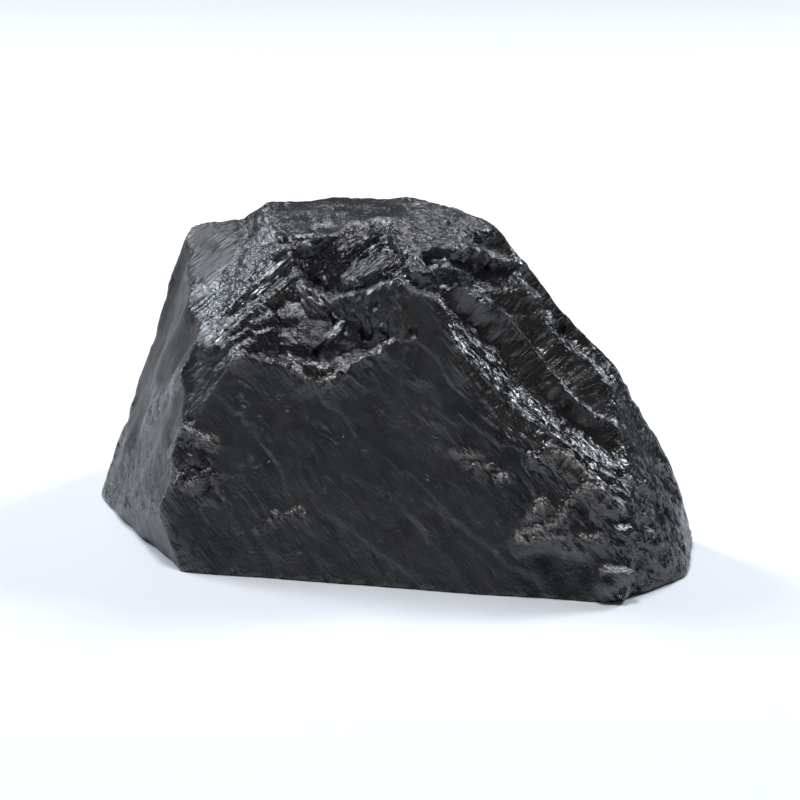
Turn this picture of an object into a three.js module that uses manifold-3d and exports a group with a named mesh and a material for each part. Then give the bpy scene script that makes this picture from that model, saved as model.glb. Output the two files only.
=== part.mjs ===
// A hand-sized lump of coal, broken from a seam: one solid, lying on a flat bedding plane.
//
// The lump is star-shaped: every point of its surface can be seen from one point inside, its heart.
// Each fracture face is a plane, known by a point on it and the way it looks. Along a direction from
// the heart, a plane is met at (its reach from the heart) / (the cosine between direction and plane).
// Faces that bound the same block are joined by the nearest of those distances, and the blocks, which
// stand proud of one another as broken coal does, by the farthest. Low relief on each face is added to
// its plane's reach before they are joined, so that the creases wander.
import * as THREE from "three";
import { mergeVertices } from "three/addons/utils/BufferGeometryUtils.js";
import Module from "manifold-3d";

// Driving dimensions, in millimetres. X runs along the lump, Y away from its broad front face, Z up.
// The drawing's origin is the front left corner of the seat; the finished lump is moved at the end.
const HEART = new THREE.Vector3(0, 20, 19);
const BLOCK_LOW = new THREE.Vector3(-46, -11, 0);
const BLOCK_HIGH = new THREE.Vector3(45, 51, 49);
const CELLS_X = 40;
const CELLS_Y = 24;
const CELLS_Z = 22;
const SEAT_WASTE = 4; // thickness below the seat that is cut away to leave it flat
const CREASE = 0.22; // how softly two faces meet
const SWELL = 3.0; // height of the low relief on a face of roughness 1
const SWELL_SPAN = 13; // distance between the swells of that relief
const SWELL_OCTAVES = 3;

// The right slope breaks down in stairs. Their crests are lines at these distances up the slope, in
// the front elevation as seen from 20 degrees above, and they run down to the right at 42 degrees.
const STAIR_CRESTS = [22, 30, 37.5, 42.8, 49];
const STAIR_HEIGHT = 1.8;
const TREAD_SHARE = 0.3; // share of each stair that is its tread, the rest being its riser
const STAIR_FALL = 42;
const ELEVATION = 20;
const STAIR_WANDER = 1.6; // how far a crest strays from its line
const STAIR_WANDER_SPAN = 9;
const STAIR_SEED = 91;

// Each face: a point on it, the bearing it looks along (0 is +X, 90 is +Y, in degrees), its tilt
// upwards (degrees) and its roughness.
const FACES = {
  seat: face(0, 0, -SEAT_WASTE, 0, -90, 0),
  front: face(-32.2, 0, 0, -100, 21.5, 0.25),
  left: face(-38.6, 39, 28.7, -163, 21, 0.4),
  left_foot: face(-34.8, 1.5, 6.9, -154, -10, 0.3),
  toe: face(38.2, 14, 18.5, -26, 30, 0.4),
  toe_end: face(43, 8, 6, -10, 14, 0.4),
  toe_foot: face(32.2, -10.2, 0.5, -50, 10, 0.4),
  heel: face(18.6, 19, 43.8, 38, 29, 0.4),
  back_right: face(42.8, 13, 6, 52, 12, 0.5),
  back: face(-4.6, 34, 48.8, 77, 13, 1),
  back_left: face(-46, 34, 4, 158, 14, 1),
  brow: face(-15, 8.4, 28.6, -93, 46, 0.5),
  shoulder: face(-27.9, 16, 33, -140, 55, 0.5),
  saddle: face(-26.5, 38, 42.7, -128, 77, 0.3),
  slope: face(31, -4.4, 13, -63, 47, 0.4),
  flank: face(0, 11.5, 43, -127, 18, 0.3),
  hollow: face(0, 11.5, 43, -152, 57, 0.3),
  slope_top: face(13.2, 3, 26.5, -56, 34, 0.4),
  cap: face(0, 32, 48.8, -120, 74.5, 0.3),
  cap_right: face(12.5, 25, 47.2, -45, 62, 0.4),
  cap_left: face(-19.4, 34, 47, -160, 45, 0.4),
  notch: face(18.4, 19, 43.8, -72, 6, 0.4),
  scarp: face(-8, 22, 43.5, -100, 33, 1),
};

// Faces that bound the whole lump, and the blocks that stand together inside them.
const OUTER = [
  "seat", "front", "left", "left_foot", "toe", "toe_end", "toe_foot", "heel", "back_right", "back", "back_left",
];
const BLOCKS = {
  foot: ["brow", "shoulder", "saddle", "slope", "cap"],
  buttress: ["flank", "hollow", "slope_top", "cap"],
  crown: ["cap", "cap_right", "cap_left", "notch", "scarp"],
};
const STAIRED = ["slope", "slope_top"];

const GRAZING = 0.02; // a direction this close to a plane's own never meets it
const OUT_OF_REACH = 1000;
const FARTHEST_RELIEF = 90; // relief is read no farther out than this
const SEED_STEP = 7.3; // moves each face's relief away from its neighbours'

function face(x, y, z, bearing, tilt, roughness) {
  const turn = THREE.MathUtils.degToRad(bearing);
  const rise = THREE.MathUtils.degToRad(tilt);
  const normal = new THREE.Vector3(
    Math.cos(rise) * Math.cos(turn),
    Math.cos(rise) * Math.sin(turn),
    Math.sin(rise),
  );
  const reach = normal.dot(new THREE.Vector3(x, y, z).sub(HEART));
  return { normal, reach, roughness };
}

// Whole-number hash of a lattice point, spread evenly over -1 to 1.
const HASH_FACTORS = [374761393, 668265263, 1442695041, 974634777];
const HASH_SCRAMBLE = 1274126177;
function hashed(i, j, k, seed) {
  let h = 0;
  [i, j, k, seed].forEach((value, at) => (h += Math.imul(value, HASH_FACTORS[at])));
  h = Math.imul(h ^ (h >>> 13), HASH_SCRAMBLE);
  h ^= h >>> 16;
  return (h >>> 0) / 2 ** 31 - 1;
}

// Value noise: the hashes of the eight lattice points around p, blended by an eased share.
function noise(p, seed) {
  const corner = p.clone().floor();
  const share = p.clone().sub(corner);
  const ease = (f) => f * f * f * (f * (f * 6 - 15) + 10);
  const [u, v, w] = [ease(share.x), ease(share.y), ease(share.z)];
  let total = 0;
  for (const i of [0, 1]) {
    for (const j of [0, 1]) {
      for (const k of [0, 1]) {
        const weight = (i ? u : 1 - u) * (j ? v : 1 - v) * (k ? w : 1 - w);
        total += weight * hashed(corner.x + i, corner.y + j, corner.z + k, seed);
      }
    }
  }
  return total;
}

// Octaves of noise, each half as high and about twice as fine as the one before.
const LACUNARITY = 2.03;
const OCTAVE_SHIFT = 17.3;
function fractal(p, octaves, seed) {
  let total = 0;
  let height = 1;
  let heights = 1;
  const q = p.clone();
  for (let octave = 0; octave < octaves; octave++) {
    total += height * noise(q, seed + octave);
    heights += height;
    height /= 2;
    q.multiplyScalar(LACUNARITY).addScalar(OCTAVE_SHIFT);
  }
  return total / heights;
}

// Height of the stairs where the surface passes p: down the tread, then back up the riser.
function stairs(p) {
  const up = THREE.MathUtils.degToRad(ELEVATION);
  const fall = THREE.MathUtils.degToRad(STAIR_FALL);
  const drawn = p.z * Math.cos(up) + p.y * Math.sin(up);
  const wander = STAIR_WANDER * noise(p.clone().divideScalar(STAIR_WANDER_SPAN), STAIR_SEED);
  const across = p.x * Math.sin(fall) + drawn * Math.cos(fall) + wander;
  const above = STAIR_CRESTS.findIndex((crest) => crest >= across);
  const next = THREE.MathUtils.clamp(above < 0 ? STAIR_CRESTS.length : above, 1, STAIR_CRESTS.length - 1);
  const share = THREE.MathUtils.clamp(
    (across - STAIR_CRESTS[next - 1]) / (STAIR_CRESTS[next] - STAIR_CRESTS[next - 1]),
    0,
    1,
  );
  const height = share < TREAD_SHARE ? 1 - share / TREAD_SHARE : (share - TREAD_SHARE) / (1 - TREAD_SHARE);
  return STAIR_HEIGHT * (height - 0.5);
}

// Distance from the heart, along a direction, at which a face with its relief is met.
function distanceTo(name, direction) {
  const { normal, reach, roughness } = FACES[name];
  const cosine = direction.dot(normal);
  if (cosine <= GRAZING) {
    return OUT_OF_REACH;
  }
  const place = direction.clone().multiplyScalar(Math.min(reach / cosine, FARTHEST_RELIEF)).add(HEART);
  const number = Object.keys(FACES).indexOf(name);
  const swellAt = place.clone().divideScalar(SWELL_SPAN).addScalar(SEED_STEP * number);
  const swell = roughness * SWELL * fractal(swellAt, SWELL_OCTAVES, number);
  const stair = STAIRED.includes(name) ? stairs(place) : 0;
  return (reach + swell + stair) / cosine;
}

// The least of some distances, with the crease where two are alike worn soft; the greatest likewise.
function nearest(distances) {
  const least = Math.min(...distances);
  const sum = distances.reduce((total, distance) => total + Math.exp((least - distance) / CREASE), 0);
  return least - CREASE * Math.log(sum);
}

function farthest(distances) {
  return -nearest(distances.map((distance) => -distance));
}

function surfaceDistance(direction) {
  const distances = {};
  for (const name of Object.keys(FACES)) {
    distances[name] = distanceTo(name, direction);
  }
  const bound = (names) => nearest(names.map((name) => distances[name]));
  return nearest([bound(OUTER), farthest(Object.values(BLOCKS).map(bound))]);
}

// A gridded block around the heart, each of its points drawn in or out to the lump's surface.
function knappedBlock() {
  const size = BLOCK_HIGH.clone().sub(BLOCK_LOW);
  const middle = BLOCK_HIGH.clone().add(BLOCK_LOW).multiplyScalar(0.5);
  const block = new THREE.BoxGeometry(size.x, size.y, size.z, CELLS_X, CELLS_Y, CELLS_Z);
  block.translate(middle.x, middle.y, middle.z);
  block.deleteAttribute("normal");
  block.deleteAttribute("uv");
  const geometry = mergeVertices(block);
  const positions = geometry.getAttribute("position");
  for (let i = 0; i < positions.count; i++) {
    const direction = new THREE.Vector3().fromBufferAttribute(positions, i).sub(HEART).normalize();
    const point = direction.clone().multiplyScalar(surfaceDistance(direction)).add(HEART);
    positions.setXYZ(i, point.x, point.y, point.z);
  }
  return geometry;
}

// The waste below the seat: a plain slab, wider than the lump, with its top at height 0.
function wasteSlab() {
  const width = 2 * (BLOCK_HIGH.x - BLOCK_LOW.x);
  const slab = new THREE.BoxGeometry(width, width, 2 * SEAT_WASTE);
  slab.translate(0, 0, -SEAT_WASTE);
  slab.deleteAttribute("normal");
  slab.deleteAttribute("uv");
  return mergeVertices(slab);
}

const wasm = await Module();
wasm.setup();

function solid(geometry) {
  return new wasm.Manifold(
    new wasm.Mesh({
      numProp: 3,
      vertProperties: geometry.getAttribute("position").array,
      triVerts: new Uint32Array(geometry.index.array),
    }),
  );
}

// The lump with its seat cut flat, moved so that the middle of its footprint is the origin.
function lumpGeometry() {
  const mesh = solid(knappedBlock()).subtract(solid(wasteSlab())).getMesh();
  const geometry = new THREE.BufferGeometry();
  geometry.setAttribute("position", new THREE.BufferAttribute(mesh.vertProperties, mesh.numProp));
  geometry.setIndex(new THREE.BufferAttribute(mesh.triVerts, 1));
  geometry.computeBoundingBox();
  const middle = geometry.boundingBox.getCenter(new THREE.Vector3());
  geometry.translate(-middle.x, -middle.y, -geometry.boundingBox.min.z);
  geometry.computeVertexNormals();
  return geometry;
}

const coal = new THREE.MeshStandardMaterial({ color: 0x25272a, roughness: 0.45, metalness: 0 });
const lump = new THREE.Mesh(lumpGeometry(), coal);
lump.name = "coal_lump";

const part = new THREE.Group();
part.add(lump);

export default part;
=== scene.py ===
"""A lump of black coal, knocked from its seam and lying on its flat seat.

The lump is one star-shaped surface: every point of it is seen from one point inside, its heart.
Its faces are planes. Along a ray out of the heart a block ends at the nearest of its own faces, the
farthest block counts, and the outer faces cut that off, as in the solid it stands for. On top of
that come the marks that breaking leaves on coal: ledges where the crack jumped from one layer to the
next, chips, flutes, shell-like ripples and crumbled patches, each face with its own. The right slope
has long ridges where the solid has plain stairs.
"""

import bpy
import numpy as np
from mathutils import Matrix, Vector


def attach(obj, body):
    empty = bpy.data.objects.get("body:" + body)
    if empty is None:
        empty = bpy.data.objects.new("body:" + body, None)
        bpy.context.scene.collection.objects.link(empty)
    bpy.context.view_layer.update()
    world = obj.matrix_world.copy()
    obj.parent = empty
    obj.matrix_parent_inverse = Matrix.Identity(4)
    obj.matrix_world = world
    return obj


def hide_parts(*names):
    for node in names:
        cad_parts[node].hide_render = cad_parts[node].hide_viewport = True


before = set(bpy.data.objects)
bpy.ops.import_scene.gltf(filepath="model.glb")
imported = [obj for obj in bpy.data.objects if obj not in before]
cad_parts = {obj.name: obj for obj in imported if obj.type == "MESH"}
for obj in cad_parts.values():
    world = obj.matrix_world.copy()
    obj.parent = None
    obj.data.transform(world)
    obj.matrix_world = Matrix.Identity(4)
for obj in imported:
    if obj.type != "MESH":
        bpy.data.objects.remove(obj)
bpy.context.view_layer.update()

# --- Driving dimensions, in millimetres, in the drawing's frame ---

MM = 0.001
HEART = np.array([0.0, 20.0, 19.0])  # the point inside that sees the whole surface
BLOCK_LOW = np.array([-46.0, -11.0, 0.0])  # the block whose grid is drawn in or out to the faces
BLOCK_HIGH = np.array([45.0, 51.0, 49.0])
COARSE_CELLS = (40, 24, 22)  # the solid's own grid, which fixes where the drawing lies in the frame
FINE_CELLS = (190, 102, 98)  # about half a millimetre a cell
SEAT_WASTE = 4.0  # how much lower the solid's seat is drawn before the solid is cut flat
CREASE = 0.22  # how wide the crease between two faces is worn
BLEND = 0.6  # how far over a crease one face's finish gives way to the next one's
SWELL = 3.0  # height of the low relief on a face of roughness 1
SWELL_SPAN = 13.0  # and how far apart its swells are
SWELL_OCTAVES = 3
SEED_STEP = 7.3  # how far apart two faces' reliefs are taken from the noise, in spans
GRAZING = 0.02  # the least cosine at which a ray still meets a face
OUT_OF_REACH = 1000.0  # the distance given to what is never met
FARTHEST_RELIEF = 90.0  # relief is looked up no farther from the heart than this
ELEVATION = 20.0  # degrees above level from which the front elevation is seen

# The stairs of the solid's right slope.
SLOPE_FALL = 42.0  # degrees that the slope's crests fall to the right in the front elevation
STAIR_CRESTS = np.array([22.0, 30.0, 37.5, 42.8, 49.0])  # how far across the slope each one is
STAIR_HEIGHT = 1.8
TREAD_SHARE = 0.3  # of the way from one crest to the next
STAIR_WANDER = 1.6  # how far a crest strays from its line
STAIR_WANDER_SPAN = 9.0  # and how far apart the places are where it does
STAIR_SEED = 91

# Each face: a point on it, the bearing it looks along (0 is +X, 90 is +Y), its tilt upwards and its
# roughness.
FACES = {
    "seat": ((0, 0, 0), 0, -90, 0),
    "front": ((-32.2, 0, 0), -100, 21.5, 0.25),
    "left": ((-38.6, 39, 28.7), -163, 21, 0.4),
    "left_foot": ((-34.8, 1.5, 6.9), -154, -10, 0.3),
    "toe": ((38.2, 14, 18.5), -26, 30, 0.4),
    "toe_end": ((43, 8, 6), -10, 14, 0.4),
    "toe_foot": ((32.2, -10.2, 0.5), -50, 10, 0.4),
    "heel": ((18.6, 19, 43.8), 38, 29, 0.4),
    "back_right": ((42.8, 13, 6), 52, 12, 0.5),
    "back": ((-4.6, 34, 48.8), 77, 13, 1),
    "back_left": ((-46, 34, 4), 158, 14, 1),
    "brow": ((-15, 8.4, 28.6), -93, 46, 0.5),
    "shoulder": ((-27.9, 16, 33), -140, 55, 0.5),
    "saddle": ((-26.5, 38, 42.7), -128, 77, 0.3),
    "slope": ((31, -4.4, 13), -63, 47, 0.4),
    "flank": ((0, 11.5, 43), -127, 18, 0.3),
    "hollow": ((0, 11.5, 43), -152, 57, 0.3),
    "slope_top": ((13.2, 3, 26.5), -56, 34, 0.4),
    "cap": ((0, 32, 48.8), -120, 74.5, 0.3),
    "cap_right": ((12.5, 25, 47.2), -45, 62, 0.4),
    "cap_left": ((-19.4, 34, 47), -160, 45, 0.4),
    "notch": ((18.4, 19, 43.8), -72, 6, 0.4),
    "scarp": ((-8, 22, 43.5), -100, 33, 1),
}
NAMES = list(FACES)
OUTER = ["seat", "front", "left", "left_foot", "toe", "toe_end", "toe_foot", "heel", "back_right",
         "back", "back_left"]  # the faces that cut off every block
BLOCKS = {
    "foot": ["brow", "shoulder", "saddle", "slope", "cap"],
    "buttress": ["flank", "hollow", "slope_top", "cap"],
    "crown": ["cap", "cap_right", "cap_left", "notch", "scarp"],
}
STAIRED = ("slope", "slope_top")


# --- Noise ---

HASH_FACTORS = (374761393, 668265263, 1442695041, 974634777)
HASH_SCRAMBLE = 1274126177
WORD = 0xFFFFFFFF
LACUNARITY = 2.03
OCTAVE_SHIFT = 17.3


def hashed(i, j, k, seed):
    """Whole-number hash of a lattice point, spread evenly over -1 to 1."""
    h = sum(value * factor for value, factor in zip((i, j, k, seed), HASH_FACTORS)) & WORD
    h = ((h ^ (h >> 13)) * HASH_SCRAMBLE) & WORD
    h ^= h >> 16
    return h / 2.0**31 - 1


def around(p):
    """The eight lattice points around each point, one after another: where they are, how far past
    each the point lies, and their weights, each the product of three eased shares."""
    corner = np.floor(p).astype(np.int64)
    share = p - corner
    ease = share * share * share * (share * (share * 6 - 15) + 10)
    for step in np.ndindex(2, 2, 2):
        yield (corner + step).T, share - step, np.prod(np.where(step, ease, 1 - ease), axis=1)


def noise(p, seed):
    """Value noise: hashes of the eight lattice points around each point, blended by their weights."""
    return sum(weight * hashed(*where, seed) for where, _, weight in around(p))


def grain(p, seed):
    """Gradient noise: a random slope at each of the eight lattice points around each point, blended
    by their weights."""
    total = 0
    for where, away, weight in around(p):
        slope = sum(hashed(*where, seed + n) * away[:, n] for n in range(3))
        total = total + weight * slope
    return total


def fractal(p, octaves, seed):
    """Octaves of noise, each half as high and about twice as fine as the one before, scaled to stay
    within -1 to 1."""
    total, height, heights = 0, 1.0, 1.0
    for octave in range(octaves):
        total = total + height * noise(p, seed + octave)
        heights += height
        height /= 2
        p = p * LACUNARITY + OCTAVE_SHIFT
    return total / heights


# --- The lump's faces ---

def unit(bearing, tilt):
    """Unit vector along a bearing, tilted upwards."""
    turn, rise = np.radians(bearing), np.radians(tilt)
    return np.array([np.cos(rise) * np.cos(turn), np.cos(rise) * np.sin(turn), np.sin(rise)])


NORMALS = {name: unit(bearing, tilt) for name, (_, bearing, tilt, _) in FACES.items()}


SIGHT = unit(-90, ELEVATION)  # towards whoever looks at the front elevation
SIDE = np.array([1.0, 0.0, 0.0])  # the elevation's own axes: to the right
RISE = unit(90, 90 - ELEVATION)  # and up


def elevation(p):
    """Where each point is drawn in the front elevation: how far right and how far up."""
    return np.stack([p @ SIDE, p @ RISE], 1)


def along_slope(place):
    """How far down along the right slope and how far across it points of the elevation are."""
    right, up = place.T
    fall = np.radians(SLOPE_FALL)
    return right * np.cos(fall) - up * np.sin(fall), right * np.sin(fall) + up * np.cos(fall)


def stairs(p):
    """Height of the stairs of the right slope: down the tread, then back up the riser."""
    _, across = along_slope(elevation(p))
    across = across + STAIR_WANDER * noise(p / STAIR_WANDER_SPAN, STAIR_SEED)
    above = np.clip(np.searchsorted(STAIR_CRESTS, across), 1, len(STAIR_CRESTS) - 1)
    low, high = STAIR_CRESTS[above - 1], STAIR_CRESTS[above]
    share = np.clip((across - low) / (high - low), 0, 1)
    tread = 1 - share / TREAD_SHARE
    riser = (share - TREAD_SHARE) / (1 - TREAD_SHARE)
    return STAIR_HEIGHT * (np.where(share < TREAD_SHARE, tread, riser) - 0.5)


def distance_to(name, directions, as_solid):
    """Distance from the heart to one face along each direction: the face's reach and its low relief,
    over the cosine between. As the solid has them, the seat lies lower and the right slope has
    stairs."""
    point, _, _, roughness = FACES[name]
    normal = NORMALS[name]
    drop = np.array([0, 0, SEAT_WASTE if name == "seat" and as_solid else 0.0])
    reach = normal @ (np.array(point) - drop - HEART)
    cosine = directions @ normal
    ahead = np.maximum(cosine, GRAZING)
    place = directions * np.minimum(reach / ahead, FARTHEST_RELIEF)[:, None] + HEART
    number = NAMES.index(name)
    relief = 0
    if roughness:
        looked_up = place / SWELL_SPAN + SEED_STEP * number
        relief = roughness * SWELL * fractal(looked_up, SWELL_OCTAVES, number)
    if name in STAIRED and as_solid:
        relief = relief + stairs(place)
    return np.where(cosine > GRAZING, (reach + relief) / ahead, OUT_OF_REACH)


def nearest(distances):
    """The least of some distances, with the crease where two are alike worn soft."""
    least = np.min(distances, axis=0)
    return least - CREASE * np.log(np.sum(np.exp((least - distances) / CREASE), axis=0))


def farthest(distances):
    """The most of some distances, its crease worn soft in the same way."""
    return -nearest(-np.asarray(distances))


def shares_of(distances):
    """How much each of some distances counts for the least of them: the others fade out within
    about a blend of it."""
    weights = np.exp((np.min(distances, axis=0) - distances) / BLEND)
    return weights / weights.sum(0)


def rough_surface(cells, as_solid=False):
    """Grid points of a block drawn in or out to the lump's faces, the quads that join them, and each
    face's share in each point."""
    shares, quads = block_grid(cells)
    directions = BLOCK_LOW + (BLOCK_HIGH - BLOCK_LOW) * shares - HEART
    directions /= np.linalg.norm(directions, axis=1, keepdims=True)
    distances = {name: distance_to(name, directions, as_solid) for name in NAMES}
    stacks = [np.stack([distances[name] for name in names]) for names in BLOCKS.values()]
    blocks = np.stack([nearest(stack) for stack in stacks])
    inner = farthest(blocks)
    outer = np.stack([distances[name] for name in OUTER])
    radius = nearest(np.stack([nearest(outer), inner]))
    last = shares_of(np.concatenate([outer, inner[None]]))
    face_shares = np.zeros((len(NAMES), len(directions)))
    for name, share in zip(OUTER, last):
        face_shares[NAMES.index(name)] += share
    for names, stack, block_share in zip(BLOCKS.values(), stacks, shares_of(-blocks)):
        for name, share in zip(names, shares_of(stack)):
            face_shares[NAMES.index(name)] += last[-1] * block_share * share
    return directions * radius[:, None] + HEART, quads, face_shares


def block_grid(cells):
    """Points on the surface of a block cut into cells, as shares of its sides, with shared edges
    merged, and the quads that join them, facing out."""
    points, quads, made = [], [], 0
    for axis in range(3):
        u, v = (axis + 1) % 3, (axis + 2) % 3
        for end in (0, 1):
            a, b = np.meshgrid(np.arange(cells[u] + 1), np.arange(cells[v] + 1), indexing="ij")
            side = np.zeros(a.shape + (3,), int)
            side[..., u], side[..., v], side[..., axis] = a, b, end * cells[axis]
            number = np.arange(a.size).reshape(a.shape) + made
            quad = np.stack([number[:-1, :-1], number[1:, :-1], number[1:, 1:], number[:-1, 1:]], -1)
            quads.append(quad.reshape(-1, 4)[:, :: 1 if end else -1])
            points.append(side.reshape(-1, 3))
            made += a.size
    points, quads = np.concatenate(points), np.concatenate(quads)
    merged, numbers = np.unique(points, axis=0, return_inverse=True)
    return merged / np.array(cells), numbers.reshape(-1)[quads]


# --- The marks of breaking ---

def lying(name, angle):
    """Unit vector in a face's plane that is drawn at an angle in the front elevation, 0 to the right
    and 90 up: the drawn direction, slid along the line of sight until it lies in the plane."""
    turn = np.radians(angle)
    drawn_way = np.cos(turn) * SIDE + np.sin(turn) * RISE
    way = drawn_way - SIGHT * (drawn_way @ NORMALS[name]) / (SIGHT @ NORMALS[name])
    return way / np.linalg.norm(way)


def combed(p, way, length, width):
    """Points squeezed so that noise on them makes streaks of a length and a width along a way: each
    is divided by the width, but what of it lies along the way is divided by the length."""
    return p / width + np.outer(p @ way, way) * (1 / length - 1 / width)


def drawn_out(pattern, p, way, seed, length, width, height, detail=2):
    """A pattern of noise, such as ridged or plates, drawn out along a way into marks of a length, a
    width and a height."""
    return height * pattern(combed(p, way, length, width), detail, seed)


def fanned(p, centre, length, width, reach):
    """Points turned into streaks that run out of a centre of the front elevation, as wide as given at
    a reach from it: the angle round the centre, the distance from it and the depth behind it."""
    away = elevation(p) - centre
    distance = np.hypot(*away.T)
    angle = np.arctan2(away[:, 1], away[:, 0])
    return np.stack([angle * reach / width, distance / length, p @ SIGHT / length], 1)


RIDGE_STEEPNESS = 2.2  # how steeply folded noise falls from its crests
WARP_SHIFT = 31.7  # how far apart the three ways of a push are taken from the noise, in spans
PLATE_CLIMB = 0.82  # share of a layer that climbs
PLATE_DROP = 0.18  # and the share that drops
CHIP_JITTER = 0.45  # how far a chip's middle strays from its cell's, in cells
CHIP_STEP = 0.2  # how far a chip lies above or below the others, in spans


def ridged(p, octaves, seed):
    """Folded gradient noise, each octave half as high and twice as fine: sharp crests up to 1, with
    hollows no deeper than 0 between them."""
    total, height, heights = 0, 1.0, 0.0
    for octave in range(octaves):
        total = total + height * (1 - RIDGE_STEEPNESS * np.abs(grain(p, seed + 3 * octave)))
        heights += height
        height /= 2
        p = p * LACUNARITY + OCTAVE_SHIFT
    return np.maximum(total / heights, 0)


def warped(p, span, reach, seed):
    """The points pushed about by up to a reach, in swirls about a span across."""
    push = np.stack([fractal(p / span + WARP_SHIFT * n, 2, seed + 10 * n) for n in range(3)], 1)
    return p + reach * push


def patches(p, span, seed, threshold, edge=0.12):
    """1 inside scattered patches about a span across and 0 outside, with a soft edge."""
    return np.clip((fractal(p / span, 3, seed) - threshold) / edge, 0, 1)


def plates(p, steps, seed):
    """Noise cut into layers: it climbs slowly across each layer and drops sharply at its edge."""
    phase = steps * fractal(p, 3, seed)
    share = phase - np.floor(phase)
    return np.minimum(share / PLATE_CLIMB, (1 - share) / PLATE_DROP) - 0.5


def chips(p, span, seed, lean=0.7):
    """Flat chips about a span across, each leaning its own way: every point takes the height of the
    nearest chip's plane, so the chips meet in little cliffs."""
    q = p / span
    corner = np.floor(q).astype(np.int64)
    best = np.full(len(p), OUT_OF_REACH)
    height = np.zeros(len(p))
    for step in np.ndindex(3, 3, 3):
        cell = corner + step - 1
        jitter = np.stack([hashed(*cell.T, seed + n) for n in range(3)], 1)
        away = q - (cell + 0.5 + CHIP_JITTER * jitter)
        distance = np.sum(away * away, axis=1)
        tilt = np.stack([hashed(*cell.T, seed + 3 + n) for n in range(3)], 1)
        plane = np.sum(away * tilt, axis=1) * lean + CHIP_STEP * hashed(*cell.T, seed + 6)
        closer = distance < best
        best = np.where(closer, distance, best)
        height = np.where(closer, plane, height)
    return height * span


def beside(place, line):
    """For points of the front elevation and a line of drawn points: how far above the line each one
    is, walking along it to the right, its distance from the line, and how far it is from the line's
    nearer end, measured along the line."""
    line = np.array(line)
    starts, runs = line[:-1], np.diff(line, axis=0)
    lengths = np.hypot(*runs.T)
    before = np.concatenate([[0], np.cumsum(lengths)])
    side = np.full(len(place), OUT_OF_REACH)
    gap = np.full(len(place), OUT_OF_REACH)
    travelled = np.zeros(len(place))
    for start, run, length, done in zip(starts, runs, lengths, before):
        away = place - start
        share = np.clip(away @ run / length**2, 0, 1)
        off = away - share[:, None] * run
        distance = np.hypot(*off.T)
        cross = run[0] * away[:, 1] - run[1] * away[:, 0]
        closer = distance < gap
        gap = np.where(closer, distance, gap)
        side = np.where(closer, np.sign(cross) * distance, side)
        travelled = np.where(closer, done + share * length, travelled)
    return side, gap, np.minimum(travelled, before[-1] - travelled)


# Where the crack left one layer for the next: lines of the front elevation, each with the height of
# its step, how far below the line the layer stands proud, and the points, from left to right.
LEDGES = {
    "brow_left": (0.6, 3.0, [(-26.7, 31.1), (-24, 32.4), (-20.7, 32.4), (-16.8, 31.4), (-14.1, 29.3)]),
    "brow_right": (0.9, 3.5, [(-15.3, 29.8), (-11.7, 28.4), (-9, 29.6), (-6.6, 31.7), (-3.6, 33.2),
                              (-0.6, 34.7)]),
    "brow_upper": (0.5, 2.0, [(-17.4, 33.2), (-14.4, 31.6), (-11.4, 30.8), (-8.4, 32.2)]),
    "fold_high": (1.1, 3.0, [(18, 17.1), (21, 17.9), (24, 17.3), (25.5, 15.5), (28.8, 13.1), (30.9, 11.9)]),
    "fold_knee": (1.3, 3.5, [(15.9, 5.6), (19.8, 6.8), (23.7, 8.3), (24.6, 11), (26.4, 12.8), (28.8, 11.6),
                             (30.9, 10.4), (33, 8.9)]),
    "fold_inner": (0.8, 2.0, [(18.3, 8), (19.8, 9.8), (22.2, 11.6)]),
    "fold_low": (0.9, 2.5, [(15.9, 5.2), (21, 5.8), (25.5, 6.4), (28.8, 5.5), (31.8, 6.6)]),
    "fold_foot": (0.6, 2.0, [(22.5, 3.8), (25.2, 4.7), (27.9, 3.5)]),
    "shard_high": (0.45, 1.0, [(6.9, 18.5), (9.6, 18.3), (12.3, 17.7)]),
    "shard_middle": (0.45, 1.2, [(8.7, 17.1), (12, 16.2), (15.6, 15.8)]),
    "shard_low": (0.4, 1.2, [(10.5, 15.6), (14.4, 14.3), (17.6, 14.6)]),
    "corner_high": (0.6, 2.5, [(-33.5, 21.5), (-30, 20.4), (-26.7, 18.9)]),
    "corner_middle": (0.7, 2.5, [(-34.2, 15.2), (-32, 12.9), (-29, 15.2), (-27.3, 16.4)]),
    "corner_low": (0.5, 2.0, [(-28, 12.5), (-25.2, 10.7)]),
    "lip": (0.4, 1.6, [(-23, 6.8), (-21.3, 6.9), (-18.8, 8.6), (-14.3, 9.2), (-12.9, 8.4)]),
}
# Open cracks: depth, width and the points of each.
CRACKS = {
    "undercut": (1.2, 0.9, [(-15, 45.8), (-13.2, 43.7), (-10.8, 42.2), (-6.6, 42.6), (-3, 43.8), (0, 44.7),
                            (3, 42.9), (6, 41.7)]),
    "shoulder_high": (0.3, 0.45, [(-27, 38.4), (-24.6, 39.9), (-22.2, 41.6)]),
    "shoulder_middle": (0.4, 0.5, [(-29.1, 32.4), (-25.2, 36.2), (-20.7, 39.2), (-17.4, 40.5)]),
    "shoulder_low": (0.35, 0.5, [(-29.3, 30.9), (-25.8, 33.6), (-22.2, 36), (-18.3, 37.2)]),
    "cap_long": (0.8, 0.5, [(-19.8, 50.6), (-17.4, 50.4), (-15, 50.7), (-13.2, 51.2)]),
    "cap_short": (0.7, 0.5, [(-14.1, 52.4), (-12.6, 52.8), (-10.8, 52.7)]),
    "front_step": (0.14, 0.4, [(-7.5, 15.2), (-5.4, 12.5), (-5.7, 10.2)]),
    "front_foot": (0.16, 0.4, [(-12, 8.7), (-9.8, 6.9), (-8.3, 4.2), (-6.5, 2.1)]),
}
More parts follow.
